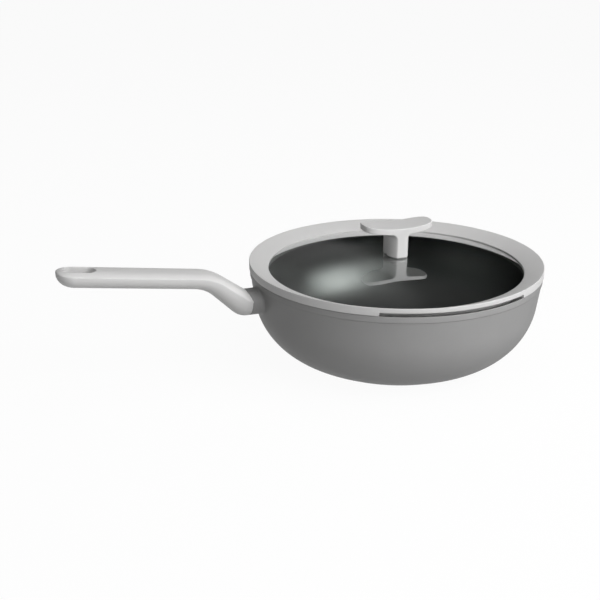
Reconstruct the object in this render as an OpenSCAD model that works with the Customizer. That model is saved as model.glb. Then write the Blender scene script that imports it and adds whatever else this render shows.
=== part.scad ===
// Deep saute pan with a long handle and a domed glass lid in a soft rim.
// The origin is the centre of the pan's underside, +Z is up and the handle points along -X.

/* [Pan] */
// Outer diameter of the pan's lip
rim_d = 288.5; // [250:0.5:330]
// Height of the pan from the table to the top of the lip
pan_h = 88.6; // [80:0.1:110]
// Thickness of the side wall
wall_t = 3.2; // [2.5:0.1:4]
// Thickness of the floor
floor_t = 5; // [4:0.1:7]
// Lean of the upper wall from upright, in degrees
wall_lean = 7.65; // [4:0.05:12]
// Radius of the lower wall, seen from the side
curve_r = 68.8; // [56:0.1:76]
// How far that radius would reach below the table if it went on
curve_sink = 2.2; // [1.6:0.1:4]
// Height of the raised band under the lip
lip_h = 6.2; // [4:0.1:8]
// How far the band stands out from the wall
lip_step = 0.65; // [0.3:0.05:1.2]

/* [Base] */
// Width of the bare ring between the steel disc and the edge of the base
disc_edge = 10; // [6:0.5:24]
// Thickness of that disc
disc_t = 1.2; // [0.8:0.1:1.6]
// Diameter of the aluminium studs that hold the disc
stud_d = 6; // [4:0.5:8]
// Rings of studs
stud_rings = 3; // [1:1:3]
// Studs in the first ring, and how many more each next ring has
ring_studs = 8; // [4:1:8]

/* [Handle] */
// Width of the handle and of the lug
handle_w = 32; // [26:0.5:36]
// Thickness of the grip from its belly to its upper edges
grip_t = 12.9; // [11:0.1:16]
// Length of the grip from the upper bend to the tip
grip_len = 139.7; // [110:0.1:170]
// Rise of the grip away from the pan, in degrees
grip_rise = 7.15; // [0:0.05:12]
// Length of the sloping arm between the two bends
arm_len = 43.4; // [40:0.1:60]
// Slope of the arm, in degrees
arm_slope = 40.65; // [30:0.05:48]
// Length of the lug from the pan's wall to the end of the handle
lug_len = 10.2; // [7:0.1:18]
// Height of the lug's middle above the table
root_z = 65.05; // [60:0.05:68]
// Height of the lug from its belly to its upper edges
lug_t = 17.8; // [16:0.1:20]
// Length of the hanging slot
slot_len = 30; // [22:0.5:40]
// Width of the hanging slot
slot_w = 16.5; // [10:0.5:18]

/* [Lid rim] */
// How far the soft rim stands out beyond the pan's lip
ring_over = 0.75; // [0.2:0.05:3]
// Height of the rim's outer band
ring_h = 7.7; // [6:0.05:9]
// Width of the rim's sloping top
ring_w = 18.9; // [16:0.1:26]
// Height of the rim's inner edge above the band's foot
ring_inner_z = 0.8; // [0.4:0.05:2]
// How deep the rim's skirt reaches into the pan
skirt_h = 8; // [8:0.1:12]
// Height of the two pouring slots
pour_h = 3.25; // [2.5:0.05:4]
// Half of the angle that each pouring slot spans
pour_half = 29.5; // [10:0.1:40]

/* [Lid glass] */
// Thickness of the glass
glass_t = 4; // [3:0.1:5]
// Height of the dome's top above the foot of the rim's band
dome_h = 11.5; // [10.5:0.1:13]
// Height of the rim's inner wall down to the glass
sill_h = 1.4; // [0.8:0.05:2.6]
// How deep the glass sits in the rim
glass_bite = 5.4; // [4:0.1:6]

/* [Knob] */
// Length of the knob's wing
wing_len = 72; // [56:0.5:84]
// Width of the knob's wing
wing_w = 32; // [28:0.5:36]
// Thickness of the wing
wing_t = 5.9; // [4.5:0.1:8]
// How far the wing's ends stand above its middle
wing_dip = 3.6; // [1:0.1:6]
// Height of the wing's middle above the glass
knob_h = 30.3; // [27:0.1:36]
// Width of the stem along the wing
stem_len = 21.2; // [18:0.2:30]
// Radius where the stem runs into the wing
stem_flare = 6; // [3:0.5:7]
// Height of the steam notch in the stem's foot
notch_h = 2.1; // [1:0.1:3]

/* [Fasteners] */
// Diameter of both screws
screw_d = 5; // [4:0.5:5.5]
// Diameter of the screw heads
head_d = 9; // [8:0.5:9.5]
// Height of the screw heads
head_h = 2.8; // [2:0.1:3.2]
// Diameter of the threaded bushes
bush_d = 8.5; // [8:0.5:9.5]
// Length of the knob's bush
bush_len = 14; // [10:0.5:16]
// Thickness of the flat washers
washer_t = 1; // [0.8:0.1:1.4]
// Thickness of the spring washers
spring_t = 1.2; // [1:0.1:1.5]
// Thickness of the two seals on the glass
seal_t = 0.8; // [0.6:0.1:1.6]

/* [Hidden] */

// Shared clearances and the overrun of every cut
fit_gap = 0.05;
slide_gap = 0.15;
skirt_gap = 0.6;
seat_gap = 0.2;
over = 1;

// Fineness of round faces and of outlines
fine = 96;
arc_steps = 14;
edge_steps = 3;

// Edge roundings
lip_edge = 0.8;
foot_edge = 2.2;
foot_h = 1.5;
foot_turn = 30;
ring_edge = 0.5;
sill_edge_share = 0.7;
step_blend = 0.8;
cove_share = 0.33;

// Pan: radii of the lip and of the wall, and the centre of the lower curve
rim_r = rim_d/2;
curve_z = curve_r - curve_sink;
wall_top_z = pan_h - lip_h;
wall_top_r = rim_r - lip_step;
tangent_z = curve_z - curve_r*sin(wall_lean);
tangent_r = wall_r(tangent_z);
curve_c = tangent_r - curve_r*cos(wall_lean);
foot_angle = asin((curve_z - foot_h)/curve_r);
floor_angle = asin((curve_z - floor_t)/(curve_r - wall_t));
foot_r = curve_c + curve_r*cos(foot_angle);
base_r = foot_r - foot_edge;
disc_d = 2*(base_r - disc_edge);

// Radius of the outer and inner wall line at a height
function wall_r(z) = wall_top_r - (wall_top_z - z)*tan(wall_lean);
function inner_r(z) = wall_r(z) - wall_t/cos(wall_lean);

// Points of an arc from one angle to another
function arc(cx, cy, r, a0, a1, n) =
    [for (i = [0:n]) let (t = a0 + (a1 - a0)*i/n) [cx + r*cos(t), cy + r*sin(t)]];

// Section shared by the lug and the handle: a domed top above two edges, and a round belly.
// Its points run round once, with the edges at height zero.
side_steps = 14;
crown_steps = 8;
crown_share = 0.25;
lug_crown_share = 0.33;
crown_power = 3.2;
belly_power = 2.3;
function belly(w, h, t) =
    [w/2*sign(cos(t))*pow(abs(cos(t)), 2/belly_power), -h*pow(abs(sin(t)), 2/belly_power)];
function crown(w, c, t) = [-w/2*cos(t), c*(1 - pow(abs(cos(t)), crown_power))];
function section(w, h, c) = concat(
    [for (i = [0:side_steps]) belly(w, h, -180*i/side_steps)],
    [for (i = [1:crown_steps - 1]) crown(w, c, 180*i/crown_steps)]);

// Lug and tenon
root_x = wall_r(root_z) + lug_len;
lug_blend = 2.5;
blend_steps = 6;
blend_turn = 80;
tenon_w = 17;
tenon_t = 7.2;
tenon_len = 15;
tenon_lift = 3.6;
tenon_z = root_z + tenon_lift;
bush_x = root_x + tenon_len/2;
seat_wall = 2.2;

// Handle path: root, lower bend, arm, upper bend and grip
low_bend_r = 9;
high_bend_r = 39.8;
bend_min = 1;
low_turn = low_bend_r*tan(arm_slope/2);
high_turn = high_bend_r*tan((arm_slope - grip_rise)/2);
tip_r = handle_w/2;
lead_len = 4.1;
corner_x = root_x + lead_len + low_turn;
arm_run = arm_len - high_turn;
grip_run = grip_len - high_turn - tip_r;
// Thickness of the arm at its upper and lower ends
arm_t = 15.4;
socket_t = 18.6;
// Distance from the hanging slot to the tip
slot_edge = 5.5;

// Lid: level of its underside, dome of the glass, its edge and the rim's seat
lid_z = pan_h + seat_gap;
ring_r = rim_r + ring_over;
window_r = ring_r - ring_w;
ring_slope = atan2(ring_h - ring_inner_z, ring_w);
glass_r = window_r + glass_bite;
glass_edge_z = lid_z + ring_inner_z - sill_h;
sill_edge = sill_edge_share*sill_h;
dome_z = lid_z + dome_h;
dome_rise = dome_z - glass_edge_z;
dome_r = (window_r*window_r + dome_rise*dome_rise)/(2*dome_rise);
function dome_top(r) = dome_z - dome_r + sqrt(dome_r*dome_r - r*r);
function dome_under(r) = dome_z - dome_r + sqrt(pow(dome_r - glass_t, 2) - r*r);
skirt_z = lid_z - skirt_h;
skirt_r = inner_r(skirt_z) - skirt_gap;
skirt_top_r = inner_r(pan_h) - skirt_gap;
lower_lip_r = window_r + over;
pour_wall = 1.1;
pour_in = ring_w - glass_bite - pour_wall;
pour_drop = 1.2;
collar_t = 1.6;
hole_r = screw_d/2 + collar_t + fit_gap;

// Knob: levels, wing outline and stem
seal_z = dome_z;
knob_z = seal_z + seal_t;
wing_z = dome_z + knob_h;
wing_power = 3.2;
wing_steps = 56;
stem_bulge = 2;
core_share = 0.33;
stem_steps = 48;
flare_steps = 6;
notch_r = 2.9;
notch_in = 9;
seal_inset = 1;
flat_x = stem_len/2;
flat_y = wing_w/2 + stem_bulge;
seal_r = 12;
under_z = dome_under(seal_r) - fit_gap;
function wing_top(x) = wing_z + wing_dip*pow(2*x/wing_len, 2);
function oval(a, b, n, power) =
    [for (i = [0:n - 1]) let (t = 360*i/n)
        [a*sign(cos(t))*pow(abs(cos(t)), 2/power), b*sign(sin(t))*pow(abs(sin(t)), 2/power)]];

// Fasteners: washer sizes, drive slots and the screws' lengths
washer_d = 11;
cup_d = 20;
spring_d = 8.8;
spring_split = 0.8;
drive_w = 1.1;
drive_len = 5;
drive_deep = 1.6;
handle_seat_z = tenon_z - tenon_t/2 - slide_gap - seat_wall;
lid_stack_z = under_z - seal_t - washer_t - spring_t;

// Solid of revolution from a list of points
module turned(points) {
    rotate_extrude($fn = fine) polygon(points);
}

// Points of the pan's outside, from the axis out and up to the lip
function pan_outside() = concat(
    [[0, 0]],
    arc(base_r, foot_h, foot_h, -90, -foot_turn, edge_steps),
    arc(curve_c, curve_z, curve_r, -foot_angle, -wall_lean, arc_steps),
    [[wall_r(wall_top_z - step_blend), wall_top_z - step_blend],
     [wall_r(wall_top_z) + cove_share*lip_step, wall_top_z],
     [rim_r, wall_top_z + step_blend]],
    arc(rim_r - lip_edge, pan_h - lip_edge, lip_edge, 0, 90, edge_steps),
    [[0, pan_h]]);

// Points of the hollow, from the axis out along the floor and up past the lip
function pan_inside() = concat(
    [[0, floor_t]],
    arc(curve_c, curve_z, curve_r - wall_t, -floor_angle, -wall_lean, arc_steps),
    [[inner_r(pan_h - lip_edge), pan_h - lip_edge],
     [inner_r(pan_h) + lip_edge/2, pan_h],
     [inner_r(pan_h) + lip_edge/2, pan_h + over],
     [0, pan_h + over]]);

// Closed skin through rings that have the same number of points
module skin(rings) {
    count = len(rings[0]);
    last = len(rings) - 1;
    polyhedron(
        points = [for (r = rings) each r],
        faces = concat(
            [[for (k = [0:count - 1]) k]],
            [[for (k = [count - 1:-1:0]) last*count + k]],
            [for (i = [0:last - 1]) for (k = [0:count - 1]) let (n = (k + 1) % count)
                each [[i*count + k, (i + 1)*count + k, (i + 1)*count + n],
                      [i*count + k, (i + 1)*count + n, i*count + n]]]));
}

// Places of the studs that hold the disc, in rings that each have the same number more
function stud_places() =
    [for (k = [1:stud_rings]) for (i = [0:ring_studs*k - 1])
        let (r = disc_d*k/(2*stud_rings + 1), t = 360*i/(ring_studs*k)) [r*cos(t), r*sin(t)]];

module pan_body() {
    color("#7d7e80") {
        difference() {
            union() {
                turned(pan_outside());
                lug();
            }
            turned(pan_inside());
            translate([0, 0, -over]) cylinder(h = disc_t + over, d = disc_d + 2*fit_gap, $fn = fine);
            translate([-bush_x, 0, tenon_z - tenon_t])
                cylinder(h = 2*tenon_t, d = bush_d + 2*fit_gap, $fn = fine);
        }
        for (p = stud_places()) translate([p[0], p[1], 0])
            cylinder(h = disc_t + over, d = stud_d - 2*fit_gap, $fn = fine);
    }
}

// Cast lug with a blended root, and the tenon that the handle slides over
module lug() {
    root_r = sqrt(pow(wall_r(root_z), 2) - handle_w*handle_w/4);
    rows = concat(
        [[root_r - lug_blend, lug_blend]],
        [for (i = [blend_steps:-1:0]) let (t = blend_turn*i/blend_steps)
            [root_r + lug_blend*(1 - sin(t)), lug_blend*(1 - cos(t))]],
        [[root_x, 0]]);
    skin([for (r = rows) [for (p = section(handle_w + 2*r[1], lug_t + 2*r[1], lug_t*lug_crown_share))
        [-r[0], p[0], root_z + lug_t/2 + r[1] + p[1]]]]);
    translate([-root_x - tenon_len, -tenon_w/2, tenon_z - tenon_t/2])
        cube([tenon_len + over, tenon_w, tenon_t]);
}

module induction_disc() {
    color("#b9babd") difference() {
        cylinder(h = disc_t, d = disc_d, $fn = fine);
        for (p = stud_places()) translate([p[0], p[1], -over])
            cylinder(h = disc_t + 2*over, d = stud_d, $fn = fine);
    }
}

module lug_insert() {
    color("#a8abb0") translate([-bush_x, 0, tenon_z - tenon_t/2]) bush(tenon_t);
}

// Threaded bush, standing on z = 0
module bush(length) {
    difference() {
        cylinder(h = length, d = bush_d, $fn = fine);
        translate([0, 0, -over]) cylinder(h = length + 2*over, d = screw_d + 2*fit_gap, $fn = fine);
    }
}

// One ring of the lower bend, where it has turned by an angle. Each level of the section turns about
// its own radius, so that the top makes a corner and the belly a wide curve.
function bend_ring(t) =
    let (root = section(handle_w, lug_t, lug_t*lug_crown_share),
         arm = section(handle_w, socket_t, socket_t*crown_share))
    [for (k = [0:len(root) - 1])
        let (root_up = lug_t/2 + root[k][1],
             arm_up = socket_t/2 + arm[k][1],
             r = max(low_bend_r - root_up, bend_min),
             x = corner_x + root_up/tan(arm_slope) - arm_up/sin(arm_slope) - r*tan(arm_slope/2))
        [-(x + r*sin(t)), root[k][0], root_z + root_up + r*(1 - cos(t))]];

// Handle stations past that bend: [distance outwards, height, direction, width, thickness]
arm_end = [corner_x + arm_run*cos(arm_slope), root_z + arm_run*sin(arm_slope)];
bend_c = [arm_end[0] + high_bend_r*sin(arm_slope), arm_end[1] - high_bend_r*cos(arm_slope)];
function high_arc(t) = [bend_c[0] - high_bend_r*sin(t), bend_c[1] + high_bend_r*cos(t), t];
grip_start = high_arc(grip_rise);
function grip(s) =
    [grip_start[0] + s*cos(grip_rise), grip_start[1] + s*sin(grip_rise), grip_rise];
bend_steps = 7;
grip_steps = 4;
tip_steps = 8;
tip_turn = 85;
tip_power = 0.9;
function with_size(place, w, t) = [place[0], place[1], place[2], w, t];
function stations() = concat(
    [with_size(concat(arm_end, [arm_slope]), handle_w, arm_t)],
    [for (i = [1:bend_steps]) with_size(high_arc(arm_slope + (grip_rise - arm_slope)*i/bend_steps),
        handle_w, arm_t + (grip_t - arm_t)*i/bend_steps)],
    [for (i = [1:grip_steps]) with_size(grip(grip_run*i/grip_steps), handle_w, grip_t)],
    [for (i = [1:tip_steps]) let (t = tip_turn*i/tip_steps)
        with_size(grip(grip_run + tip_r*sin(t)), handle_w*pow(cos(t), tip_power), grip_t)]);

// One ring of the sweep. Towards the tip the width, belly and crown shrink alike, so that the two
// edges stay in one slope.
function ring_points(s) =
    let (q = s[3]/handle_w, pts = section(s[3], s[4]*q, s[4]*crown_share*q))
    [for (p = pts) let (up = s[4]/2 + p[1]) [-(s[0] - up*sin(s[2])), p[0], s[1] + up*cos(s[2])]];

module handle_solid() {
    root = [for (p = section(handle_w, lug_t, lug_t*lug_crown_share))
        [-root_x, p[0], root_z + lug_t/2 + p[1]]];
    skin(concat(
        [root],
        [for (i = [0:bend_steps]) bend_ring(arm_slope*i/bend_steps)],
        [for (s = stations()) ring_points(s)]));
}

// Upright cutter with round ends, its long way along X
module stadium(length, w, h) {
    for (side = [-1, 1]) translate([side*(length - w)/2, 0, 0]) cylinder(h = h, d = w, $fn = fine);
    translate([-(length - w)/2, -w/2, 0]) cube([length - w, w, h]);
}

module handle() {
    mid = grip(grip_run + tip_r - slot_edge - slot_len/2);
    color("#c4c4c2") difference() {
        handle_solid();
        translate([-root_x - tenon_len - slide_gap, -tenon_w/2 - slide_gap,
                   tenon_z - tenon_t/2 - slide_gap])
            cube([tenon_len + over, tenon_w + 2*slide_gap, tenon_t + 2*slide_gap]);
        translate([-bush_x, 0, handle_seat_z - root_z])
            cylinder(h = root_z, d = washer_d + 2*slide_gap, $fn = fine);
        translate([-bush_x, 0, handle_seat_z - over])
            cylinder(h = seat_wall + 2*over, d = screw_d + 4*slide_gap, $fn = fine);
        translate([-mid[0], 0, mid[1]]) rotate([0, grip_rise, 0]) translate([0, 0, -grip_t])
            stadium(slot_len, slot_w, 2*grip_t);
    }
}

// Flat washer, standing on z = 0
module washer(d, t) {
    difference() {
        cylinder(h = t, d = d, $fn = fine);
        translate([0, 0, -over]) cylinder(h = t + 2*over, d = screw_d + 2*slide_gap, $fn = fine);
    }
}

// Split spring washer, standing on z = 0
module spring_washer() {
    difference() {
        washer(spring_d, spring_t);
        translate([0, -spring_split/2, -over]) cube([spring_d, spring_split, spring_t + 2*over]);
    }
}

// Screw with a rounded head and a cross drive. The head's underside lies on z = 0.
module screw(length) {
    difference() {
        union() {
            cylinder(h = length, d = screw_d, $fn = fine);
            translate([0, 0, -head_h]) turned(concat(
                [[0, 0]], arc(head_d/2 - head_h/2, head_h/2, head_h/2, -90, 0, edge_steps),
                [[head_d/2, head_h], [0, head_h]]));
        }
        for (turn = [0, 90]) rotate([0, 0, turn])
            translate([-drive_len/2, -drive_w/2, -head_h - over])
                cube([drive_len, drive_w, drive_deep + over]);
    }
}

module handle_flat_washer() {
    color("#b4b6ba") translate([-bush_x, 0, handle_seat_z - washer_t]) washer(washer_d, washer_t);
}

module handle_spring_washer() {
    color("#8f9196") translate([-bush_x, 0, handle_seat_z - washer_t - spring_t]) spring_washer();
}

module handle_screw() {
    head_z = handle_seat_z - washer_t - spring_t;
    color("#a0a3a8") translate([-bush_x, 0, head_z]) screw(tenon_z + tenon_t/2 - head_z);
}

// Section of the soft rim: band, sloping top, sill, groove for the glass, lower lip and skirt
function rim_section() = concat(
    [[skirt_top_r, lid_z], [ring_r - ring_edge, lid_z], [ring_r, lid_z + ring_edge]],
    arc(ring_r - ring_edge, lid_z + ring_h - ring_edge, ring_edge, 0, 90 + ring_slope,
        edge_steps),
    arc(window_r + sill_edge, lid_z + ring_inner_z - sill_edge, sill_edge, 90 + ring_slope,
        180, edge_steps),
    [[window_r, glass_edge_z], [glass_r + fit_gap, dome_top(glass_r)],
     [glass_r + fit_gap, dome_under(glass_r) - fit_gap], [lower_lip_r, dome_under(lower_lip_r)],
     [lower_lip_r, skirt_z + ring_edge], [lower_lip_r + ring_edge, skirt_z],
     [skirt_r - ring_edge, skirt_z], [skirt_r, skirt_z + ring_edge]]);

module lid_rim() {
    color("#c9c9c7") difference() {
        turned(rim_section());
        for (side = [-90, 90]) rotate([0, 0, side - pour_half])
            rotate_extrude(angle = 2*pour_half, $fn = fine) polygon([
                [ring_r - pour_in, lid_z + pour_h - pour_drop], [ring_r - pour_in, skirt_z - over],
                [skirt_top_r + over, skirt_z - over], [skirt_top_r + over, lid_z - over],
                [ring_r + over, lid_z - over], [ring_r + over, lid_z + pour_h]]);
    }
}

// Domed disc with a ground edge and a hole for the screw's collar
module lid_glass() {
    steps = arc_steps;
    color("#4a4f5280") difference() {
        turned(concat(
            [for (i = [0:steps]) let (r = window_r*i/steps) [r, dome_top(r)]],
            [[glass_r, dome_top(glass_r)], [glass_r, dome_under(glass_r)]],
            [for (i = [steps:-1:0]) let (r = lower_lip_r*i/steps) [r, dome_under(r)]]));
        translate([0, 0, under_z - over])
            cylinder(h = dome_z - under_z + 2*over, r = hole_r, $fn = fine);
    }
}

// Wing of the knob: a dished slab cut to its rounded plan
module wing() {
    n = arc_steps;
    intersection() {
        translate([0, wing_w, 0]) rotate([90, 0, 0]) linear_extrude(height = 2*wing_w) polygon(concat(
            [for (i = [-n:n]) let (x = wing_len/2*i/n) [x, wing_top(x)]],
            [for (i = [n:-1:-n]) let (x = wing_len/2*i/n) [x, wing_top(x) - wing_t]]));
        translate([0, 0, knob_z]) linear_extrude(height = 2*knob_h)
            polygon(oval(wing_len/2, wing_w/2, wing_steps, wing_power));
    }
}

// Stem of the knob: an oval column that flares into the wing, with flat front and back
module stem() {
    under = wing_z - wing_t + wing_dip*pow(2*(flat_x + stem_flare)/wing_len, 2);
    levels = concat(
        [[knob_z, 0]],
        [for (i = [0:flare_steps]) let (t = 90*i/flare_steps)
            [under - stem_flare*(1 - sin(t)), stem_flare*(1 - cos(t))]],
        [[wing_z - core_share*wing_t, stem_flare]]);
    intersection() {
        skin([for (l = levels) [for (p = oval(flat_x + l[1], flat_y + l[1], stem_steps, 2))
            [p[0], p[1], l[0]]]]);
        translate([0, 0, dome_z]) linear_extrude(height = 2*knob_h)
            polygon(oval(wing_len/2, wing_w/2, wing_steps, wing_power));
    }
}

module lid_knob() {
    color("#cdcdcb") difference() {
        union() {
            wing();
            stem();
        }
        translate([0, 0, knob_z - over])
            cylinder(h = bush_len + over, d = bush_d + 2*fit_gap, $fn = fine);
        for (side = [-1, 1]) translate([side*notch_in, 0, knob_z + notch_h - notch_r])
            rotate([0, side*90, 0]) cylinder(h = wing_len/2, r = notch_r, $fn = fine);
    }
}

module knob_insert() {
    color("#b08a3c") translate([0, 0, knob_z]) bush(bush_len);
}

module knob_gasket() {
    color("#8a8a8c") translate([0, 0, seal_z]) difference() {
        linear_extrude(height = seal_t) intersection() {
            polygon(oval(flat_x - seal_inset, flat_y - seal_inset, stem_steps, 2));
            square([wing_len, wing_w - 2*seal_inset], center = true);
        }
        translate([0, 0, -over])
            cylinder(h = seal_t + 2*over, d = screw_d + 2*slide_gap, $fn = fine);
    }
}

// Lower seal with the collar that lines the hole in the glass
module glass_gasket() {
    collar_r = hole_r - fit_gap;
    color("#d8d8d6") translate([0, 0, under_z - seal_t]) difference() {
        union() {
            cylinder(h = seal_t, r = seal_r, $fn = fine);
            cylinder(h = dome_top(hole_r) - under_z + seal_t, r = collar_r, $fn = fine);
        }
        translate([0, 0, -over])
            cylinder(h = dome_z - under_z + seal_t + 2*over, d = screw_d + 2*slide_gap, $fn = fine);
    }
}

module lid_washer() {
    color("#b4b6ba") translate([0, 0, under_z - seal_t - washer_t]) washer(cup_d, washer_t);
}

module lid_spring_washer() {
    color("#8f9196") translate([0, 0, lid_stack_z]) spring_washer();
}

module lid_screw() {
    color("#a0a3a8") translate([0, 0, lid_stack_z]) screw(knob_z + bush_len - washer_t - lid_stack_z);
}

pan_body();
induction_disc();
lug_insert();
handle();
handle_flat_washer();
handle_spring_washer();
handle_screw();
lid_rim();
lid_glass();
lid_knob();
knob_insert();
knob_gasket();
glass_gasket();
lid_washer();
lid_spring_washer();
lid_screw();
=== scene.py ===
"""Deep saute pan with a long handle and a domed glass lid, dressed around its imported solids."""

from math import asin, atan2, cos, degrees, pi, radians, sin, sqrt, tan

import bmesh
import bpy
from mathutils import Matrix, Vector


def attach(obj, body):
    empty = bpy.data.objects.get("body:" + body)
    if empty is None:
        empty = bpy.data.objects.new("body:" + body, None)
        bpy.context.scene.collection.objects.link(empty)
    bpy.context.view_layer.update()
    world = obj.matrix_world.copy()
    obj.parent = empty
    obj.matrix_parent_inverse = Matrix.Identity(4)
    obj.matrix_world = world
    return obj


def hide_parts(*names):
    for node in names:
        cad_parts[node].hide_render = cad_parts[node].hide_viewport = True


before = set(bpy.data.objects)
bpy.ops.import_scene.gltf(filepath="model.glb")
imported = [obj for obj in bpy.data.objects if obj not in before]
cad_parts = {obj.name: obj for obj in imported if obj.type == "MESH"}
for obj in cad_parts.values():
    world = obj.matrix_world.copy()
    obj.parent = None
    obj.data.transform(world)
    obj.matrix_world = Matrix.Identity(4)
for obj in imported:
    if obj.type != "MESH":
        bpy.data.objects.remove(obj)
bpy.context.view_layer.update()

MM = 0.001
TURN = 360.0

# Sizes, in millimetres
RIM_R = 288.5 / 2
PAN_H = 88.6
WALL_T = 3.2
FLOOR_T = 5.0
WALL_LEAN = 7.65
CURVE_R = 68.8
CURVE_SINK = 2.2
CURVE_Z = CURVE_R - CURVE_SINK
LIP_H = 6.2
LIP_STEP = 0.65
LIP_EDGE = 0.8
COVE_H = 1.3
FOOT_EDGE = 2.2
FOOT_H = 1.5
FOOT_TURN = 30.0
DISC_EDGE = 10.0
DISC_T = 1.2
DISC_BEVEL = 0.25
STUD_SINK = 0.4
STUD_D = 6.0
STUD_RINGS = 3
RING_STUDS = 8
FIT = 0.05
OVER = 1.0

GRIP_W = 32.0
GRIP_T = 12.9
GRIP_LEN = 139.7
GRIP_RISE = 7.15
ARM_LEN = 43.4
ARM_SLOPE = 40.65
ARM_T = 15.4
SOCKET_T = 18.6
LOW_BEND_R = 9.0
HIGH_BEND_R = 39.8
BEND_MIN = 1.0
LEAD_LEN = 4.1
LUG_LEN = 10.2
LUG_T = 17.8
LUG_BLEND = 2.5
ROOT_Z = 65.05
CROWN_SHARE = 0.25
LUG_CROWN_SHARE = 0.33
CROWN_POWER = 3.2
BELLY_POWER = 2.3
TENON_W = 17.0
TENON_T = 7.2
TENON_LEN = 15.0
TENON_LIFT = 3.6
TENON_Z = ROOT_Z + TENON_LIFT
TIP_POWER = 0.9
SLOT_LEN = 30.0
SLOT_W = 16.5
SLOT_EDGE = 5.5
SCREW_D = 5.0
WASHER_D = 11.0
SEAT_WALL = 2.2
SLIDE = 0.15
SEAM_BOW = 2.6

RING_OVER = 0.75
RING_R = RIM_R + RING_OVER
RING_W = 18.9
WINDOW_R = RING_R - RING_W
RING_H = 7.7
RING_INNER_Z = 0.8
RING_EDGE = 0.5
SEAT_GAP = 0.2
LID_Z = PAN_H + SEAT_GAP
SKIRT_H = 8.0
SKIRT_GAP = 0.6
POUR_H = 3.25
POUR_HALF = 29.5
POUR_WALL = 1.1
POUR_DROP = 1.2
POUR_ROUND = 1.5
GLASS_T = 4.0
GLASS_ROUND = 0.4
LOWER_LIP_R = WINDOW_R + OVER
DOME_H = 11.5
DOME_Z = LID_Z + DOME_H
SILL_H = 1.4
SILL_EDGE = 0.7 * SILL_H
GLASS_BITE = 5.4
GLASS_R = WINDOW_R + GLASS_BITE
GLASS_EDGE_Z = LID_Z + RING_INNER_Z - SILL_H
DOME_RISE = DOME_Z - GLASS_EDGE_Z
DOME_R = (WINDOW_R ** 2 + DOME_RISE ** 2) / (2 * DOME_RISE)

WING_LEN = 72.0
WING_W = 32.0
WING_T = 5.9
WING_DIP = 3.6
KNOB_H = 30.3
WING_Z = DOME_Z + KNOB_H
WING_POWER = 3.2
STEM_LEN = 21.2
STEM_FLARE = 6.0
STEM_BULGE = 2.0
SEAL_T = 0.8
KNOB_Z = DOME_Z + SEAL_T
NOTCH_R = 2.9
NOTCH_H = 2.1
NOTCH_IN = 9.0
COLLAR_T = 1.6
HOLE_R = SCREW_D / 2 + COLLAR_T + FIT


# Outlines
def steps(start, end, count):
    """Evenly spaced values from start to end, both included."""
    return [start + (end - start) * i / count for i in range(count + 1)]


def arc(x, z, r, start, end, count):
    """Points of an arc about (x, z), from one angle to the other, in degrees."""
    return [(x + r * cos(radians(t)), z + r * sin(radians(t))) for t in steps(start, end, count)]


def ease(t):
    """0 to 1 with soft ends."""
    return t * t * (3 - 2 * t)


WALL_TOP_Z = PAN_H - LIP_H
TANGENT_Z = CURVE_Z - CURVE_R * sin(radians(WALL_LEAN))
WALL_TOP_R = RIM_R - LIP_STEP
TANGENT_R = WALL_TOP_R - (WALL_TOP_Z - TANGENT_Z) * tan(radians(WALL_LEAN))
CURVE_C = TANGENT_R - CURVE_R * cos(radians(WALL_LEAN))


def wall_r(z):
    """Radius of the wall's outside at a height above the lower curve."""
    return TANGENT_R + (z - TANGENT_Z) * tan(radians(WALL_LEAN))


def inner_r(z):
    """Radius of the wall's inside at a height above the lower curve."""
    return wall_r(z) - WALL_T / cos(radians(WALL_LEAN))


def dome_top(r):
    """Height of the glass's upper face at a radius."""
    return DOME_Z - DOME_R + sqrt(DOME_R ** 2 - r * r)


def dome_under(r):
    """Height of the glass's lower face at a radius."""
    return DOME_Z - DOME_R + sqrt((DOME_R - GLASS_T) ** 2 - r * r)


def belly(w, h, t):
    """Point of the lower half of the handle's section, at an angle from 0 to -180 degrees."""
    c, s = cos(radians(t)), sin(radians(t))
    side = -1 if c < 0 else 1
    return (w / 2 * side * abs(c) ** (2 / BELLY_POWER), -h * abs(s) ** (2 / BELLY_POWER))


def crown(w, c, t):
    """Point of the domed top of the handle's section, at an angle from 0 to 180 degrees."""
    return (-w / 2 * cos(radians(t)), c * (1 - abs(cos(radians(t))) ** CROWN_POWER))


def section(w, t, c):
    """Section of the lug and handle, from the right arris under the belly and back over the top."""
    under = [belly(w, t, -a) for a in steps(0, 180, 56)]
    over = [crown(w, c, a) for a in steps(0, 180, 40)][1:-1]
    return under + over


def softened(points, count, passes):
    """Closed outline set out again in equal steps, with its corners rubbed down."""
    loop = [Vector(p) for p in points]
    spans = [(b - a).length for a, b in zip(loop, loop[1:] + loop[:1])]
    whole, out, at, k = sum(spans), [], 0.0, 0
    for i in range(count):
        want = whole * i / count
        while at + spans[k] < want:
            at += spans[k]
            k += 1
        a, b = loop[k], loop[(k + 1) % len(loop)]
        out.append(a.lerp(b, (want - at) / max(spans[k], 1e-9)))
    for _ in range(passes):
        out = [(out[i - 1] + 2 * out[i] + out[(i + 1) % count]) / 4 for i in range(count)]
    return [tuple(p) for p in out]


def oval(a, b, power, count):
    """Points of a rounded oblong with half axes a and b."""
    out = []
    for t in steps(0, TURN, count)[:-1]:
        c, s = cos(radians(t)), sin(radians(t))
        r = (abs(c / a) ** power + abs(s / b) ** power) ** (-1 / power)
        out.append((r * c, r * s))
    return out


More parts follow.
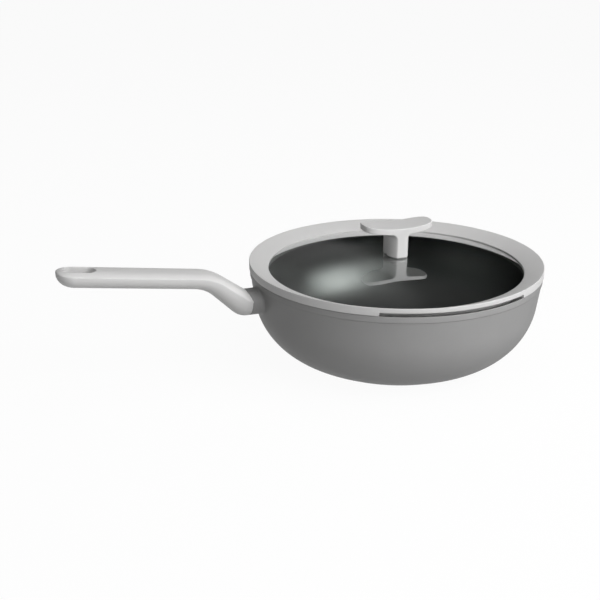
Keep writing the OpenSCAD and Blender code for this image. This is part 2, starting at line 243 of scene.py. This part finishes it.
# Meshes
def piece(name, points, faces, smooth_to=32):
    """Object from points in millimetres, cleaned of doubles, with soft shading up to an angle."""
    mesh = bpy.data.meshes.new(name)
    mesh.from_pydata([Vector(p) * MM for p in points], [], faces)
    shell = bmesh.new()
    shell.from_mesh(mesh)
    bmesh.ops.remove_doubles(shell, verts=shell.verts, dist=0.002 * MM)
    bmesh.ops.dissolve_degenerate(shell, edges=shell.edges, dist=0.0005 * MM)
    bmesh.ops.recalc_face_normals(shell, faces=shell.faces)
    shell.to_mesh(mesh)
    shell.free()
    made = bpy.data.objects.new(name, mesh)
    bpy.context.scene.collection.objects.link(made)
    shade(made, smooth_to)
    return made


def shade(made, smooth_to):
    made.data.shade_smooth()
    made.data.set_sharp_from_angle(angle=radians(smooth_to))


def skin(rings, loop=False):
    """Points and faces of a closed skin through rings that have the same number of points."""
    count, last = len(rings[0]), len(rings)
    points = [p for ring in rings for p in ring]
    faces = []
    for i in range(last if loop else last - 1):
        j = (i + 1) % last
        for k in range(count):
            n = (k + 1) % count
            faces.append((i * count + k, j * count + k, j * count + n, i * count + n))
    if not loop:
        faces.append(tuple(range(count))[::-1])
        faces.append(tuple((last - 1) * count + k for k in range(count)))
    return points, faces


def turned(profile, closed=False, turns=288):
    """Points and faces of a solid of revolution. An open profile starts and ends on the axis."""
    points, faces, rows = [], [], []
    for r, z in profile:
        if r < 1e-6:
            rows.append([len(points)])
            points.append((0, 0, z))
        else:
            rows.append(list(range(len(points), len(points) + turns)))
            points += [(r * cos(radians(TURN * i / turns)), r * sin(radians(TURN * i / turns)), z)
                       for i in range(turns)]
    for a, b in zip(rows, rows[1:] + (rows[:1] if closed else [])):
        for i in range(turns):
            n = (i + 1) % turns
            if len(a) == 1 and len(b) == 1:
                continue
            if len(a) == 1:
                faces.append((a[0], b[i], b[n]))
            elif len(b) == 1:
                faces.append((a[i], b[0], a[n]))
            else:
                faces.append((a[i], b[i], b[n], a[n]))
    return points, faces


def joined(*shells):
    """One list of points and faces from several shells."""
    points, faces = [], []
    for more, sides in shells:
        start = len(points)
        points += more
        faces += [tuple(start + k for k in side) for side in sides]
    return points, faces


def block(x0, x1, y0, y1, z0, z1):
    """Shell of a plain cutter with flat faces."""
    return skin([[(x, y, z) for x, y in ((x0, y0), (x1, y0), (x1, y1), (x0, y1))] for z in (z0, z1)])


def rod(start, end, r, count=64):
    """Shell of a round cutter between two points."""
    axis = (Vector(end) - Vector(start)).normalized()
    side = axis.orthogonal().normalized()
    up = axis.cross(side)
    return skin([[tuple(Vector(c) + r * (side * cos(t) + up * sin(t)))
                  for t in (2 * pi * k / count for k in range(count))] for c in (start, end)])


def use(made, kind, **settings):
    """Adds a modifier and applies it."""
    modifier = made.modifiers.new(kind.title(), kind)
    for key, value in settings.items():
        setattr(modifier, key, value)
    with bpy.context.temp_override(object=made, active_object=made, selected_objects=[made]):
        bpy.ops.object.modifier_apply(modifier=modifier.name)


def cut(made, *shells):
    """Cuts each shell out of the piece."""
    for shell in shells:
        cutter = piece("cutter", *shell)
        use(made, "BOOLEAN", operation="DIFFERENCE", solver="EXACT", object=cutter)
        bpy.data.objects.remove(cutter)


def one_skin(made, grain):
    """Makes one skin of overlapping shells, with even small faces."""
    use(made, "REMESH", mode="VOXEL", voxel_size=grain * MM, adaptivity=0, use_smooth_shade=True)


def moulded(made, grain, passes):
    """Makes one skin, with every edge softly rounded as it leaves a mould."""
    one_skin(made, grain)
    use(made, "SMOOTH", factor=0.5, iterations=passes)
    made.data.shade_smooth()


# Shader nodes
class Value:
    """A socket in a node tree. Sums, products and powers of it add Math nodes."""

    def __init__(self, nodes, socket):
        self.nodes, self.socket = nodes, socket

    def math(self, operation, first, second=0.0):
        return self.nodes.add("ShaderNodeMath", {"operation": operation},
                              {0: first, 1: second})["Value"]

    def __add__(self, other):
        return self.math("ADD", self, other)

    __radd__ = __add__

    def __sub__(self, other):
        return self.math("SUBTRACT", self, other)

    def __rsub__(self, other):
        return self.math("SUBTRACT", other, self)

    def __mul__(self, other):
        return self.math("MULTIPLY", self, other)

    __rmul__ = __mul__

    def __pow__(self, other):
        return self.math("POWER", self, other)

    def __rpow__(self, other):
        return self.math("POWER", other, self)

    def at_most(self, other):
        return self.math("MINIMUM", self, other)

    def between(self, low, high):
        """0 below low and 1 above high, with soft ends."""
        return self.nodes.add("ShaderNodeMapRange", {"interpolation_type": "SMOOTHSTEP"},
                              {"Value": self, "From Min": low, "From Max": high})["Result"]


class Outputs:
    """What a node gives, by the name of its socket."""

    def __init__(self, nodes, made):
        self.nodes, self.made = nodes, made

    def __getitem__(self, name):
        found = [s for s in self.made.outputs if name in (s.name, s.identifier) and s.enabled]
        return Value(self.nodes, found[0])


class Nodes:
    """A node tree that is filled by name."""

    def __init__(self, owner):
        owner.use_nodes = True
        self.tree = owner.node_tree
        self.tree.nodes.clear()

    def add(self, kind, settings=None, sockets=None):
        """One node: its settings first, then the values or links of its sockets."""
        made = self.tree.nodes.new(kind)
        for key, value in (settings or {}).items():
            setattr(made, key, value)
        for key, value in (sockets or {}).items():
            if isinstance(key, int):
                socket = made.inputs[key]
            else:
                socket = [s for s in made.inputs if key in (s.name, s.identifier) and s.enabled][0]
            if isinstance(value, Value):
                self.tree.links.new(value.socket, socket)
            else:
                socket.default_value = value
        return Outputs(self, made)

    def noise(self, place, scale, detail, rough=0.5):
        return self.add("ShaderNodeTexNoise", None,
                        {"Vector": place, "Scale": scale, "Detail": detail, "Roughness": rough})["Fac"]

    def colour(self, factor, first, second):
        """First colour where the factor is 0 and the second where it is 1."""
        return self.add("ShaderNodeMix", {"data_type": "RGBA"},
                        {"Factor_Float": factor, "A_Color": first, "B_Color": second})["Result_Color"]

    def parts(self, vector):
        """X, Y and Z of a vector."""
        split = self.add("ShaderNodeSeparateXYZ", None, {"Vector": vector})
        return split["X"], split["Y"], split["Z"]

    def bump(self, height, depth):
        """Normal that a height from 0 to 1 gives, where 1 stands out by the depth in millimetres."""
        return self.add("ShaderNodeBump", None,
                        {"Height": height, "Distance": depth * MM, "Strength": 1.0})["Normal"]


def grey(level, warm=0.0):
    """Colour of a linear grey level, a little warmer or cooler."""
    return (level * (1 + warm), level, level * (1 - warm), 1.0)


def finish(name, paint):
    """Material whose nodes the given function lays out and whose shader it returns."""
    made = bpy.data.materials.new(name)
    nodes = Nodes(made)
    place = nodes.add("ShaderNodeTexCoord")["Object"]
    shader = paint(nodes, place)
    nodes.add("ShaderNodeOutputMaterial", None, {"Surface": shader})
    return made


def principled(nodes, sockets):
    return nodes.add("ShaderNodeBsdfPrincipled", None, sockets)["BSDF"]


def coated(level, sheen, gloss, metal=0.0, painted_limb_shade=0.0):
    """Hard sprayed coating on cast metal: fine grains, cloudy patches and a faint orange peel.
    Its colour is darkened at a slant by the last share given: a painted shade on the limbs that turn
    away from view."""
    def paint(nodes, place):
        grains = nodes.noise(place, 2600, 2.0, 0.6)
        clouds = nodes.noise(place, 38, 3.0)
        peel = nodes.noise(place, 620, 1.0)
        tone = (grains - 0.5) * 0.5 + (clouds - 0.5) * 0.35 + 0.5
        # painted shade: the base colour goes darker where the surface turns away from view
        slant = nodes.add("ShaderNodeLayerWeight", None, {"Blend": 0.5})["Facing"]
        skin = nodes.colour(tone, grey(level * 0.86, 0.01), grey(level * 1.14, 0.0))
        return principled(nodes, {
            "Base Color": nodes.colour(slant ** 3.0 * painted_limb_shade, skin, grey(0.0)),
            "Roughness": sheen + (clouds - 0.5) * 0.12 + (grains - 0.5) * 0.16,
            "Specular IOR Level": gloss,
            "Metallic": metal,
            "Normal": nodes.bump(peel * 0.7 + grains * 0.3, 0.05)})
    return paint


def soft_touch(level, rough, grain):
    """Matte moulded rubber or soft plastic: fine eroded skin and barely visible handling marks."""
    def paint(nodes, place):
        pores = nodes.noise(place, grain, 3.0, 0.65)
        clouds = nodes.noise(place, 55, 3.0)
        tone = (pores - 0.5) * 0.35 + (clouds - 0.5) * 0.4 + 0.5
        return principled(nodes, {
            "Base Color": nodes.colour(tone, grey(level * 0.95, 0.008), grey(level * 1.05, 0.004)),
            "Roughness": rough + (clouds - 0.5) * 0.14 + (pores - 0.5) * 0.1,
            "Specular IOR Level": 0.4,
            "Normal": nodes.bump(pores, 0.03)})
    return paint


def turned_steel(nodes, place):
    """Magnetic steel with the fine rings of a facing cut and a few radial scuffs."""
    x, y, z = nodes.parts(place)
    r = (x * x + y * y) ** 0.5
    ring = nodes.add("ShaderNodeCombineXYZ", None, {"X": r * 2600, "Y": 0.0, "Z": 0.0})["Vector"]
    lines = nodes.noise(ring, 1.0, 3.0, 0.6)
    clouds = nodes.noise(place, 60, 3.0)
    return principled(nodes, {
        "Base Color": nodes.colour(lines * 0.6 + clouds * 0.4, grey(0.42, 0.02), grey(0.66, 0.01)),
        "Metallic": 1.0,
        "Roughness": 0.26 + (clouds - 0.5) * 0.12 + (lines - 0.5) * 0.14,
        "Normal": nodes.bump(lines, 0.02)})


def bright_metal(low, high, warm, rough):
    """Machined fastener: fine drawn lines, dulled in patches."""
    def paint(nodes, place):
        clouds = nodes.noise(place, 420, 3.0)
        lines = nodes.noise(place, 4200, 2.0, 0.6)
        return principled(nodes, {
            "Base Color": nodes.colour(lines * 0.4 + clouds * 0.6, grey(low, warm), grey(high, warm)),
            "Metallic": 1.0,
            "Roughness": rough + (clouds - 0.5) * 0.2,
            "Normal": nodes.bump(lines, 0.008)})
    return paint


def tempered_glass(nodes, place):
    """Clear glass: the room shows in it at a slant, and the pan below it face on."""
    smears = nodes.noise(place, 24, 3.0)
    mirror = nodes.add("ShaderNodeFresnel", None, {"IOR": 1.5})["Fac"]
    inside = nodes.add("ShaderNodeNewGeometry")["Backfacing"]
    share = (1 - (1 - mirror) ** 3.0) * (1 - inside)
    through = nodes.add("ShaderNodeBsdfTransparent", None, {"Color": (0.90, 0.92, 0.91, 1.0)})["BSDF"]
    sheen = nodes.add("ShaderNodeBsdfGlossy", None,
                      {"Color": (0.98, 0.98, 0.98, 1.0), "Roughness": smears * 0.02})["BSDF"]
    return nodes.add("ShaderNodeMixShader", None, {0: share, 1: through, 2: sheen})["Shader"]


FINISHES = {
    # the outside coating carries a painted shade that darkens it at a slant
    "outside": finish("sprayed_coating", coated(0.305, 0.46, 0.22, painted_limb_shade=0.55)),
    "inside": finish("dark_nonstick", coated(0.33, 0.36, 0.5, 1.0)),
    "grip": finish("soft_touch_grip", soft_touch(0.66, 0.50, 1700)),
    "rim": finish("matte_silicone", soft_touch(0.60, 0.58, 1300)),
    "disc": finish("turned_disc_steel", turned_steel),
    "knob_seal": finish("knob_seal_rubber", soft_touch(0.30, 0.5, 1500)),
    "pale_seal": finish("pale_seal_silicone", soft_touch(0.62, 0.45, 1500)),
    "fastener": finish("fastener_steel", bright_metal(0.45, 0.62, 0.01, 0.28)),
    "spring": finish("spring_steel", bright_metal(0.24, 0.38, 0.01, 0.34)),
    "stud": finish("cast_aluminium", bright_metal(0.40, 0.58, 0.0, 0.42)),
    "bush": finish("plated_bush", bright_metal(0.40, 0.55, 0.02, 0.3)),
    "brass": finish("brass_bush", bright_metal(0.42, 0.60, 0.25, 0.28)),
    "glass": finish("tempered_glass", tempered_glass),
}


def dress(made, body, node, slot, *finishes):
    """Gives a new piece its finishes, hangs it on its body and hides the solid that it stands for."""
    for name in finishes:
        made.data.materials.append(FINISHES[name])
    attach(made, body)
    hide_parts(node)


# Pan
FOOT_R = CURVE_C + sqrt(CURVE_R ** 2 - (CURVE_Z - FOOT_H) ** 2)
BASE_R = FOOT_R - FOOT_EDGE
DISC_R = BASE_R - DISC_EDGE
ROOT_X = wall_r(ROOT_Z) + LUG_LEN
BUSH_X = ROOT_X + TENON_LEN / 2
ROOT = section(GRIP_W, LUG_T, LUG_T * LUG_CROWN_SHARE)


def seam_x(y):
    """Distance out to the seam between lug and handle, which bows towards the handle."""
    return ROOT_X + SEAM_BOW * (1 - abs(2 * y / GRIP_W) ** 3)


def seam_cap(outline, back=0.0):
    """Rings that close a bowed end, each smaller than the last."""
    middle = -LUG_T / 3
    return [[(-(seam_x(y * share) - back), y * share,
              ROOT_Z + LUG_T / 2 + middle + (up - middle) * share) for y, up in outline]
            for share in (0.9, 0.7, 0.4, 0.1)]


def pan_shell():
    """Pan from the axis above the disc, out over the foot, up to the lip and down to the floor."""
    foot_angle = degrees(asin((CURVE_Z - FOOT_H) / CURVE_R))
    floor_angle = degrees(asin((CURVE_Z - FLOOR_T) / (CURVE_R - WALL_T)))
    recess_r, cove_r = DISC_R + FIT, wall_r(WALL_TOP_Z - COVE_H / 2)
    cove = [(cove_r + (RIM_R - cove_r) * ease(t), WALL_TOP_Z + COVE_H * (t - 0.5))
            for t in steps(0, 1, 10)]
    lip_inner = inner_r(PAN_H) + LIP_EDGE / 2
    outside = (
        [(0, DISC_T), (recess_r, DISC_T), (recess_r, DISC_BEVEL), (recess_r + DISC_BEVEL, 0)]
        + arc(BASE_R, FOOT_H, FOOT_H, -90, -FOOT_TURN, 8)
        + arc(CURVE_C, CURVE_Z, CURVE_R, -foot_angle, -WALL_LEAN, 44)
        + cove
        + arc(RIM_R - LIP_EDGE, PAN_H - LIP_EDGE, LIP_EDGE, 0, 90, 8))
    inside = (
        arc(lip_inner + LIP_EDGE, PAN_H - LIP_EDGE, LIP_EDGE, 90, 180 - WALL_LEAN, 6)
        + arc(CURVE_C, CURVE_Z, CURVE_R - WALL_T, -WALL_LEAN, -floor_angle, 40)
        + [(0, FLOOR_T)])
    return turned(outside + inside)


def lug_shell():
    """Cast lug. Its root flares into the wall all round, and it ends square at the handle."""
    count, edge, bevel = 190, 0.45, 0.13
    flares = [(-WALL_T / 2, LUG_BLEND)]
    flares += [(LUG_BLEND * (1 - sin(radians(t))), LUG_BLEND * (1 - cos(radians(t))))
               for t in steps(84, 0, 14)]
    rows = []
    for depth, flare in flares:
        outline = section(GRIP_W + 2 * flare, LUG_T + 2 * flare, LUG_T * LUG_CROWN_SHARE)
        row = []
        for y, up in softened(outline, count, 1):
            z = ROOT_Z + LUG_T / 2 + flare + up
            row.append((-sqrt((wall_r(z) + depth) ** 2 - y * y), y, z))
        rows.append(row)
    end = softened(ROOT, count, 1)
    for back, pull in ((edge, 0.0), (bevel, bevel), (0.0, edge)):
        rows.append([(-(seam_x(y) - back), y * (1 - 2 * pull / GRIP_W),
                      ROOT_Z + LUG_T / 2 + up * (1 - 2 * pull / LUG_T)) for y, up in end])
    return skin(rows + seam_cap(end))


def make_pan():
    studs = []
    for k in range(1, STUD_RINGS + 1):
        for i in range(RING_STUDS * k):
            r, t = DISC_R * 2 * k / (2 * STUD_RINGS + 1), radians(TURN * i / (RING_STUDS * k))
            spot = (r * cos(t), r * sin(t))
            studs.append(rod((*spot, 0), (*spot, DISC_T + STUD_SINK), STUD_D / 2 - FIT, 32))
    tenon = block(-ROOT_X - TENON_LEN, -ROOT_X + OVER, -TENON_W / 2, TENON_W / 2,
                  TENON_Z - TENON_T / 2, TENON_Z + TENON_T / 2)
    pan = piece("pan_body_coated", *joined(pan_shell(), lug_shell(), tenon, *studs))
    dress(pan, "pan", "pan_body", "cast_coating", "outside", "inside", "stud")
    for side in pan.data.polygons:
        x, y, z = side.center / MM
        r = sqrt(x * x + y * y)
        faces_in = side.normal.dot(Vector((x, y, -z - OVER))) < 1e-6
        if faces_in and z > FLOOR_T - OVER and r < RIM_R - LIP_EDGE / 3:
            side.material_index = 1
        elif z < DISC_T / 12 and r < DISC_R:
            side.material_index = 2


# Handle
HANDLE_GRAIN = 0.42


def along(place, run):
    """Place further along a straight line: distance out, height and direction."""
    x, z, turn = place
    return (x + run * cos(radians(turn)), z + run * sin(radians(turn)), turn)


HALF_SLOPE = tan(radians(ARM_SLOPE / 2))
CORNER_X = ROOT_X + LEAD_LEN + LOW_BEND_R * HALF_SLOPE


def bend_ring(turn):
    """Ring of the lower bend: its top turns in a corner and its belly in a wide curve."""
    slope, turn = radians(ARM_SLOPE), radians(turn)
    ring = []
    for (y, up), (_, arm_up) in zip(ROOT, section(GRIP_W, SOCKET_T, SOCKET_T * CROWN_SHARE)):
        level, arm_level = LUG_T / 2 + up, SOCKET_T / 2 + arm_up
        r = max(LOW_BEND_R - level, BEND_MIN)
        x = CORNER_X + level / tan(slope) - arm_level / sin(slope) - r * HALF_SLOPE
        ring.append((-(x + r * sin(turn)), y, ROOT_Z + level + r * (1 - cos(turn))))
    return ring


def handle_path():
    """Stations from the arm to the tip: distance out, height, direction, width and thickness."""
    high_turn = HIGH_BEND_R * tan(radians((ARM_SLOPE - GRIP_RISE) / 2))
    grip_run = GRIP_LEN - high_turn - GRIP_W / 2
    corner = (CORNER_X, ROOT_Z, ARM_SLOPE)
    arm_start, arm_run = 6.0, ARM_LEN - high_turn
    arm_end = along(corner, arm_run)
    bend_x = arm_end[0] + HIGH_BEND_R * sin(radians(ARM_SLOPE))
    bend_z = arm_end[1] - HIGH_BEND_R * cos(radians(ARM_SLOPE))

    def high(t):
        return (bend_x - HIGH_BEND_R * sin(radians(t)), bend_z + HIGH_BEND_R * cos(radians(t)), t)

    path = [along(corner, arm_start + (arm_run - arm_start) * t)
            + (GRIP_W, SOCKET_T + (ARM_T - SOCKET_T) * t) for t in steps(0, 1, 14)[3:]]
    path += [high(ARM_SLOPE + (GRIP_RISE - ARM_SLOPE) * t) + (GRIP_W, ARM_T + (GRIP_T - ARM_T) * t)
             for t in steps(0, 1, 24)[1:]]
    grip = high(GRIP_RISE)
    path += [along(grip, grip_run * t) + (GRIP_W, GRIP_T) for t in steps(0, 1, 36)[1:]]
    path += [along(grip, grip_run + GRIP_W / 2 * sin(radians(t)))
             + (GRIP_W * cos(radians(t)) ** TIP_POWER, GRIP_T) for t in steps(0, 88, 30)[1:]]
    return path, along(grip, grip_run + GRIP_W / 2 - SLOT_EDGE - SLOT_LEN / 2)


def make_handle():
    path, slot_mid = handle_path()
    rings = seam_cap(ROOT)[::-1]
    rings.append([(-seam_x(y), y, ROOT_Z + LUG_T / 2 + up) for y, up in ROOT])
    rings += [bend_ring(t) for t in steps(0, ARM_SLOPE, 16)]
    for x, z, turn, w, t in path:
        share = w / GRIP_W
        c, s = cos(radians(turn)), sin(radians(turn))
        rings.append([(-(x - (t / 2 + up) * s), y, z + (t / 2 + up) * c)
                      for y, up in section(w, t * share, t * CROWN_SHARE * share)])
    handle = piece("handle_soft_grip", *skin(rings))
    seat_z = TENON_Z - TENON_T / 2 - SLIDE - SEAT_WALL
    c, s = cos(radians(GRIP_RISE)), sin(radians(GRIP_RISE))
    x, z = -slot_mid[0], slot_mid[1]
    ring = []
    for t in steps(0, 2 * pi, 96)[:-1]:
        side = (SLOT_LEN - SLOT_W) / 2 * (1 if cos(t) > 0 else -1)
        ring.append((side + SLOT_W / 2 * cos(t), SLOT_W / 2 * sin(t)))
    slot = skin([[(x + u * c + v * s, y, z - u * s + v * c) for u, y in ring]
                 for v in (-2 * GRIP_T, 2 * GRIP_T)])
    cut(handle,
        slot,
        block(-ROOT_X - TENON_LEN - SLIDE, -ROOT_X + OVER, -TENON_W / 2 - SLIDE, TENON_W / 2 + SLIDE,
              TENON_Z - TENON_T / 2 - SLIDE, TENON_Z + TENON_T / 2 + SLIDE),
        rod((-BUSH_X, 0, TENON_Z - LUG_T * 2), (-BUSH_X, 0, seat_z), WASHER_D / 2 + SLIDE),
        rod((-BUSH_X, 0, seat_z - OVER), (-BUSH_X, 0, TENON_Z), SCREW_D / 2 + 2 * SLIDE))
    moulded(handle, HANDLE_GRAIN, 3)
    dress(handle, "pan", "handle", "soft_grip", "grip")


# Lid
KNOB_GRAIN = 0.35


def make_rim():
    """Soft rim. Two stretches of it are raised and cut back as pouring slots."""
    slope = degrees(atan2(RING_H - RING_INNER_Z, RING_W))
    skirt_z = LID_Z - SKIRT_H
    skirt_r, skirt_top_r = inner_r(skirt_z) - SKIRT_GAP, inner_r(PAN_H) - SKIRT_GAP
    pour_r, e = GLASS_R + POUR_WALL, RING_EDGE

    def profile(open_h):
        lift = max(open_h, 0.0)
        cut_back = open_h >= 0
        foot = ([(LOWER_LIP_R + e, skirt_z)]
                + [(min(r, pour_r) if cut_back else r, z) for r, z in
                   arc(skirt_r - e, skirt_z + e, e, -90, 0, 4) + [(skirt_top_r, LID_Z)]])
        if cut_back:
            foot[-1] = (pour_r, LID_Z + lift * (1 - POUR_DROP / POUR_H))
        return (foot
                + arc(RING_R - e, LID_Z + lift + e, e, -90, 0, 4)
                + arc(RING_R - e, LID_Z + RING_H - e, e, 0, 90 + slope, 8)
                + arc(WINDOW_R + SILL_EDGE, LID_Z + RING_INNER_Z - SILL_EDGE, SILL_EDGE,
                      90 + slope, 180, 8)
                + [(WINDOW_R, GLASS_EDGE_Z), (GLASS_R + FIT, dome_top(GLASS_R)),
                   (GLASS_R + FIT, dome_under(GLASS_R) - FIT), (LOWER_LIP_R, dome_under(LOWER_LIP_R))]
                + arc(LOWER_LIP_R + e, skirt_z + e, e, 180, 270, 4)[:-1])

    round_turn, shut = degrees(POUR_ROUND / RING_R), -1.0
    corner = [(POUR_HALF - round_turn * (1 - cos(radians(t))),
               POUR_H - POUR_ROUND * (1 - sin(radians(t)))) for t in steps(90, 0, 9)[1:]]
    stations = []
    for middle in (-90, 90):
        stations += [(middle - turn, height) for turn, height in corner[::-1]]
        stations += [(middle + turn, POUR_H)
                     for turn in steps(-POUR_HALF + round_turn, POUR_HALF - round_turn, 60)]
        stations += [(middle + turn, height) for turn, height in corner]
        stations += [(middle + turn, shut) for turn in steps(POUR_HALF, 180 - POUR_HALF, 120)]
    rings = []
    for turn, open_h in stations:
        c, s = cos(radians(turn)), sin(radians(turn))
        rings.append([(r * c, r * s, z) for r, z in profile(open_h)])
    rim = piece("lid_rim_silicone", *skin(rings, loop=True))
    dress(rim, "lid", "lid_rim", "silicone", "rim")


def make_glass():
    """Domed glass with a ground edge, held in the rim's groove."""
    top = [(r, dome_top(r)) for r in steps(HOLE_R, GLASS_R - GLASS_ROUND, 60)]
    under = [(r, dome_under(r)) for r in steps(GLASS_R - GLASS_ROUND, HOLE_R, 60)]
    rounded = [(GLASS_R, dome_top(GLASS_R) - GLASS_ROUND),
               (GLASS_R, dome_under(GLASS_R) + GLASS_ROUND)]
    glass = piece("lid_glass_dome", *turned(top + rounded + under, closed=True))
    dress(glass, "lid", "lid_glass", "dome_glass", "glass")


def make_knob():
    """Wing with a dished top, on an oval stem that flares into it."""
    plan = oval(WING_LEN / 2, WING_W / 2, WING_POWER, 160)

    def dished(x):
        return WING_Z + WING_DIP * (2 * x / WING_LEN) ** 2

    shares = steps(0, 1, 24)[1:]
    wing_points, wing_faces, rows = [(0, 0, dished(0))], [], []
    for drop, order in ((0, shares), (WING_T, shares[::-1])):
        for share in order:
            rows.append(list(range(len(wing_points), len(wing_points) + len(plan))))
            wing_points += [(x * share, y * share, dished(x * share) - drop) for x, y in plan]
    wing_points.append((0, 0, dished(0) - WING_T))
    last = len(wing_points) - 1
    for k in range(len(plan)):
        n = (k + 1) % len(plan)
        wing_faces.append((0, rows[0][k], rows[0][n]))
        wing_faces.append((last, rows[-1][n], rows[-1][k]))
        for a, b in zip(rows, rows[1:]):
            wing_faces.append((a[k], b[k], b[n], a[n]))

    flat_x, flat_y = STEM_LEN / 2, WING_W / 2 + STEM_BULGE
    under = dished(flat_x + STEM_FLARE) - WING_T
    levels = [(z, 0.0) for z in steps(KNOB_Z, under - STEM_FLARE, 12)[:-1]]
    levels += [(under - STEM_FLARE * (1 - sin(radians(t))), STEM_FLARE * (1 - cos(radians(t))))
               for t in steps(0, 90, 12)]
    levels.append((WING_Z - WING_T / 3, STEM_FLARE))
    rings = []
    for z, out in levels:
        ring = []
        for x, y in oval(flat_x + out, flat_y + out, 2, len(plan)):
            turn = atan2(y, x)
            reach = (abs(cos(turn) / (WING_LEN / 2)) ** WING_POWER
                     + abs(sin(turn) / (WING_W / 2)) ** WING_POWER) ** (-1 / WING_POWER)
            r = min(sqrt(x * x + y * y), reach)
            ring.append((r * cos(turn), r * sin(turn), z))
        rings.append(ring)
    knob = piece("lid_knob_soft", *joined((wing_points, wing_faces), skin(rings)))
    notch_z = KNOB_Z + NOTCH_H - NOTCH_R
    one_skin(knob, KNOB_GRAIN)
    cut(knob, *[rod((side * NOTCH_IN, 0, notch_z), (side * WING_LEN, 0, notch_z), NOTCH_R)
                for side in (-1, 1)])
    moulded(knob, KNOB_GRAIN, 6)
    dress(knob, "lid", "lid_knob", "soft_grip", "grip")


make_pan()
make_handle()
make_rim()
make_glass()
make_knob()

KEPT = {
    "induction_disc": ("disc", "disc_steel"),
    "lug_insert": ("bush", "bush_steel"),
    "handle_flat_washer": ("fastener", "fastener_steel"),
    "handle_spring_washer": ("spring", "spring_steel"),
    "handle_screw": ("fastener", "fastener_steel"),
    "knob_insert": ("brass", "bush_brass"),
    "knob_gasket": ("knob_seal", "knob_seal"),
    "glass_gasket": ("pale_seal", "pale_seal"),
    "lid_washer": ("fastener", "fastener_steel"),
    "lid_spring_washer": ("spring", "spring_steel"),
    "lid_screw": ("fastener", "fastener_steel"),
}
for name, (look, slot) in KEPT.items():
    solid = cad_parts[name]
    solid.data.materials.clear()
    solid.data.materials.append(FINISHES[look])
    shade(solid, 32)
    rounding = solid.modifiers.new("edges", "BEVEL")
    rounding.width, rounding.segments, rounding.limit_method = 0.12 * MM, 2, "ANGLE"
    rounding.angle_limit = radians(40)


# Studio
CAMERA_SIDE = -19.0
AMBIENT = 0.08
FLOOR_HALF = 15000
FLOOR_SINK = 0.02


def paint_floor(nodes, place):
    path = nodes.add("ShaderNodeLightPath")
    seen = path["Is Camera Ray"] + path["Is Glossy Ray"] + path["Is Transmission Ray"]
    seen = seen.at_most(1.0)
    paper = nodes.colour(seen, grey(0.4), grey(0.85))
    board = nodes.add("ShaderNodeBsdfDiffuse", None, {"Color": paper})["BSDF"]
    lit = nodes.add("ShaderNodeEmission", None, {"Color": grey(1.0), "Strength": 1.0})["Emission"]
    return nodes.add("ShaderNodeMixShader", None, {0: seen * 0.95, 1: board, 2: lit})["Shader"]


floor = piece("floor", *block(-FLOOR_HALF, FLOOR_HALF, -FLOOR_HALF, FLOOR_HALF, -12, -FLOOR_SINK))
floor.data.materials.append(finish("pale_floor", paint_floor))


def light_room():
    """White behind and below, and a dark room with one pale wall where the pan mirrors it."""
    world = bpy.data.worlds.new("studio")
    bpy.context.scene.world = world
    nodes = Nodes(world)
    way = nodes.add("ShaderNodeTexCoord")["Generated"]
    x, y, z = nodes.parts(way)
    path = nodes.add("ShaderNodeLightPath")

    def across(azimuth):
        """Distance to the right of an upright plane, at an azimuth from +Y towards +X in degrees."""
        return x * cos(radians(azimuth)) - y * sin(radians(azimuth))

    backdrop = 1 - z.between(sin(radians(0.5)), sin(radians(2)))
    edge = across(17.5) - z * 0.24
    wall = (1 - edge.between(0.0, 0.25)) * z.between(0.42, 0.6) * 0.06
    haze = (1 - edge.between(-0.035, 0.035)) * 0.075 * (1 - z.between(0.6, 0.8)) + 0.001
    room = (backdrop + (1 - backdrop) * (wall + haze)).at_most(1.0)
    glossy = path["Is Glossy Ray"]
    plain = (path["Is Camera Ray"] + path["Is Transmission Ray"]).at_most(1.0)
    level = plain + (1 - plain) * (glossy * room + (1 - glossy) * AMBIENT)
    shader = nodes.add("ShaderNodeBackground", None,
                       {"Color": grey(1.0), "Strength": level})["Background"]
    nodes.add("ShaderNodeOutputWorld", None, {"Surface": shader})


def lamp(name, azimuth, elevation, reach, width, height, level, mirrored=True):
    """Soft box that faces the pan, from an azimuth right of the camera's own side, in degrees."""
    data = bpy.data.lights.new(name, "AREA")
    data.shape, data.size, data.size_y = "RECTANGLE", width, height
    data.energy = level * pi * reach ** 2
    made = bpy.data.objects.new(name, data)
    a, e = radians(CAMERA_SIDE + azimuth), radians(elevation)
    aim = Vector((0, 0, 0.06))
    out = Vector((sin(a) * cos(e), -cos(a) * cos(e), sin(e)))
    made.location = aim + out * reach
    made.visible_glossy = mirrored
    made.rotation_euler = (-out).to_track_quat("-Z", "Y").to_euler()
    bpy.context.scene.collection.objects.link(made)


light_room()
lamp("soft_box_front", 14, 15, 1.6, 1.1, 0.9, 1.0)
lamp("soft_box_right", 57, 36, 1.6, 1.2, 1.1, 2.6)
lamp("soft_box_high", 60, 80, 1.9, 2.4, 2.2, 1.5, mirrored=False)

lens = bpy.data.cameras.new("camera")
lens.sensor_width, lens.lens = 36, 60.37
camera = bpy.data.objects.new("camera", lens)
camera.location = (-0.4000, -0.8713, 0.4010)
camera.rotation_euler = Vector((0.3057, 0.8879, -0.3437)).to_track_quat("-Z", "Y").to_euler()
bpy.context.scene.collection.objects.link(camera)
bpy.context.scene.camera = camera
bpy.context.scene.view_settings.view_transform = "Standard"
